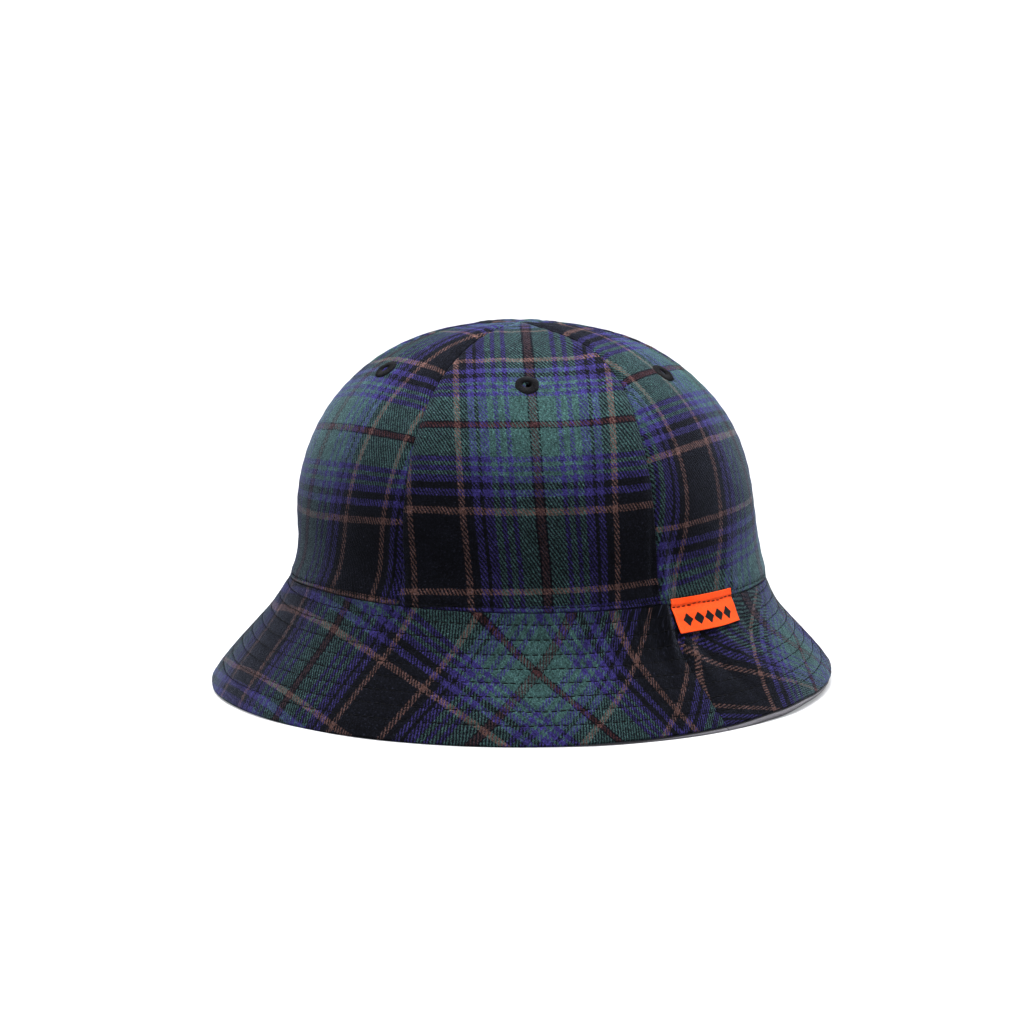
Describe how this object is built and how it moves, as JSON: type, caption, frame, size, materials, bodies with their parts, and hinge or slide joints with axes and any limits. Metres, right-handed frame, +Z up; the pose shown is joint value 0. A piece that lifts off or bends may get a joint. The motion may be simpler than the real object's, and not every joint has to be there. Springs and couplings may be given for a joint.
{
  "type": "bucket hat",
  "caption": "Soft bell-shaped bucket hat in dark plaid flannel, with a panelled crown, a stitched sloping brim and a small loose side label.",
  "frame": {"origin": "on the hat's axis, in the level that the rim of the brim stands on", "axes": "+Z up through the crown, -Y out of the front, +X towards the wearer's left"},
  "size_m": [0.2496, 0.2496, 0.144],
  "materials": {
    "plaid_flannel": "brushed twill flannel in a green, violet-blue and black plaid with brown and rust lines",
    "lining_cloth": "smooth plain-weave lining, lavender grey",
    "interlining": "stiff off-white interlining, closed in the brim",
    "sweatband_cloth": "matt dark twill",
    "black_thread": "close black stitching",
    "orange_label": "bright orange woven satin",
    "white_label": "plain white woven tape"
  },
  "bodies": {
    "hat": {"crown_panel_front": "plaid_flannel", "crown_panel_front_left": "plaid_flannel", "crown_panel_rear_left": "plaid_flannel", "crown_panel_rear": "plaid_flannel", "crown_panel_rear_right": "plaid_flannel", "crown_panel_front_right": "plaid_flannel", "brim_top_front": "plaid_flannel", "brim_top_rear": "plaid_flannel", "lining_panel_front": "lining_cloth", "lining_panel_front_left": "lining_cloth", "lining_panel_rear_left": "lining_cloth", "lining_panel_rear": "lining_cloth", "lining_panel_rear_right": "lining_cloth", "lining_panel_front_right": "lining_cloth", "brim_under_front": "lining_cloth", "brim_under_rear": "lining_cloth", "brim_interlining_front": "interlining", "brim_interlining_rear": "interlining", "eyelet_front": "black_thread", "eyelet_front_left": "black_thread", "eyelet_rear_left": "black_thread", "eyelet_rear": "black_thread", "eyelet_rear_right": "black_thread", "eyelet_front_right": "black_thread", "sweatband": "sweatband_cloth", "label_sewn_edge": "orange_label", "care_label": "white_label"},
    "label": {"label_flap": "orange_label"}
  },
  "joints": [
    {"name": "label_flap", "type": "hinge", "parent": "hat", "child": "label", "pos_m": [0.09314, 0.02409, 0.0432], "axis": [0.2504, -0.9681, 0], "range_deg": [0, 130]}
  ]
}
